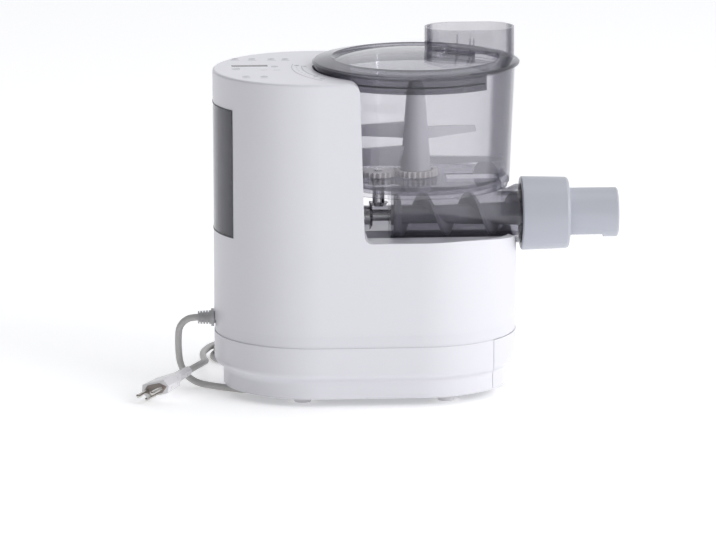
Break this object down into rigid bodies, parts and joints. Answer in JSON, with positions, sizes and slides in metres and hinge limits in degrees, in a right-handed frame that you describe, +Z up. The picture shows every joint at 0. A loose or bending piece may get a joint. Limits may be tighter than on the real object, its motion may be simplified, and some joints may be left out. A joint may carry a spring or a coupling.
{
  "type": "electric pasta maker",
  "caption": "Electric pasta maker: stadium-plan housing with rear water tank, clear mixing bowl with paddle, screw extruder, lock nut, outlet and storage drawer.",
  "frame": {"origin": "on the floor under the mixing bowl's axis, which is the middle of the object's length and width", "axes": "+X out of the extruder, +Z up, +Y away from the side that the picture shows"},
  "size_m": [0.4856, 0.2772, 0.3636],
  "materials": {
    "housing_white": "smooth gloss",
    "smoky_clear": "clear smoky plastic",
    "pale_grey": "satin",
    "light_grey": "satin",
    "gear_white": "satin",
    "inner_grey": "moulded",
    "steel": "ground",
    "motor_steel": "zinc",
    "cast_alloy": "die cast",
    "bronze": "sintered",
    "soft_grey": "soft",
    "display_black": "gloss",
    "board_green": "coated board",
    "hose_clear": "silicone",
    "cord_grey": "matt sheath",
    "plug_white": "gloss",
    "contact_brass": "nickel plated"
  },
  "bodies": {
    "machine": {"base_shell": "housing_white", "bottom_plate": "inner_grey", "feet": "soft_grey", "bottom_screws": "steel", "waist_band": "housing_white", "chassis_plate": "inner_grey", "main_housing": "housing_white", "display_window": "display_black", "control_board": "board_green", "power_board": "board_green", "tank_bay": "inner_grey", "water_pump": "inner_grey", "water_hoses": "hose_clear", "water_nozzle": "inner_grey", "motor_can": "motor_steel", "motor_end_cap": "motor_steel", "motor_bracket": "inner_grey", "gearbox_case": "cast_alloy", "gearbox_cover": "cast_alloy", "shaft_bearings": "bronze", "drive_seal": "soft_grey", "strain_relief": "cord_grey", "mains_plug": "plug_white", "plug_pins": "contact_brass", "mains_cord_lead": "cord_grey", "mains_cord_coil": "cord_grey", "mains_cord_tail": "cord_grey"},
    "rotor": {"motor_rotor": "motor_steel", "motor_shaft": "steel"},
    "lay_shaft": {"lay_gear": "gear_white"},
    "drive_output": {"output_gear": "gear_white", "output_shaft": "steel"},
    "bowl": {"mixing_bowl": "smoky_clear", "extruder_barrel": "smoky_clear", "screw_bush": "bronze", "idler_bush": "bronze", "paddle_pivot": "steel"},
    "screw": {"auger_screw": "light_grey", "auger_tail": "steel"},
    "idler": {"idler_gear": "gear_white", "idler_shaft": "steel"},
    "paddle": {"paddle_gear": "gear_white", "mixing_paddle": "light_grey"},
    "lid": {"bowl_lid": "smoky_clear", "fill_chute": "smoky_clear", "lid_seal": "soft_grey"},
    "outlet": {"outlet_tube": "pale_grey", "die_shell": "light_grey", "die_plug": "pale_grey"},
    "nut": {"lock_nut": "pale_grey"},
    "tank": {"tank_shell": "smoky_clear", "tank_lid": "smoky_clear", "tank_valve": "inner_grey"},
    "drawer": {"drawer_front": "housing_white", "drawer_tray": "inner_grey"}
  },
  "joints": [
    {"name": "motor_spin", "type": "hinge", "parent": "machine", "child": "rotor", "pos_m": [0, 0.0085, 0.1175], "axis": [1, 0, 0], "continuous": true},
    {"name": "lay_spin", "type": "hinge", "parent": "machine", "child": "lay_shaft", "pos_m": [0, 0.021, 0.1475], "axis": [1, 0, 0], "continuous": true},
    {"name": "drive_spin", "type": "hinge", "parent": "machine", "child": "drive_output", "pos_m": [0, 0, 0.1755], "axis": [1, 0, 0], "continuous": true},
    {"name": "bowl_slide", "type": "slide", "parent": "machine", "child": "bowl", "axis": [1, 0, 0], "range_m": [0, 0.21]},
    {"name": "screw_spin", "type": "hinge", "parent": "bowl", "child": "screw", "pos_m": [0, 0, 0.1755], "axis": [1, 0, 0], "continuous": true},
    {"name": "idler_spin", "type": "hinge", "parent": "bowl", "child": "idler", "pos_m": [-0.0374, 0, 0.2], "axis": [0, 0, 1], "continuous": true},
    {"name": "paddle_spin", "type": "hinge", "parent": "bowl", "child": "paddle", "pos_m": [0, 0, 0.24], "axis": [0, 0, 1], "continuous": true},
    {"name": "lid_lift", "type": "slide", "parent": "bowl", "child": "lid", "axis": [0, 0, 1], "range_m": [0, 0.12]},
    {"name": "outlet_pull", "type": "slide", "parent": "bowl", "child": "outlet", "axis": [1, 0, 0], "range_m": [0, 0.09]},
    {"name": "nut_turn", "type": "hinge", "parent": "outlet", "child": "nut", "pos_m": [0.13, 0, 0.1755], "axis": [1, 0, 0], "range_deg": [0, 540]},
    {"name": "tank_slide", "type": "slide", "parent": "machine", "child": "tank", "axis": [-1, 0, 0], "range_m": [0, 0.065]},
    {"name": "drawer_slide", "type": "slide", "parent": "machine", "child": "drawer", "axis": [1, 0, 0], "range_m": [0, 0.095]}
  ],
  "couplings": [
    {"joint": "lay_spin", "follows": "motor_spin", "ratio": -0.3},
    {"joint": "drive_spin", "follows": "motor_spin", "ratio": 0.12857},
    {"joint": "screw_spin", "follows": "motor_spin", "ratio": 0.12857},
    {"joint": "idler_spin", "follows": "motor_spin", "ratio": 0.19286},
    {"joint": "paddle_spin", "follows": "motor_spin", "ratio": -0.16071}
  ]
}
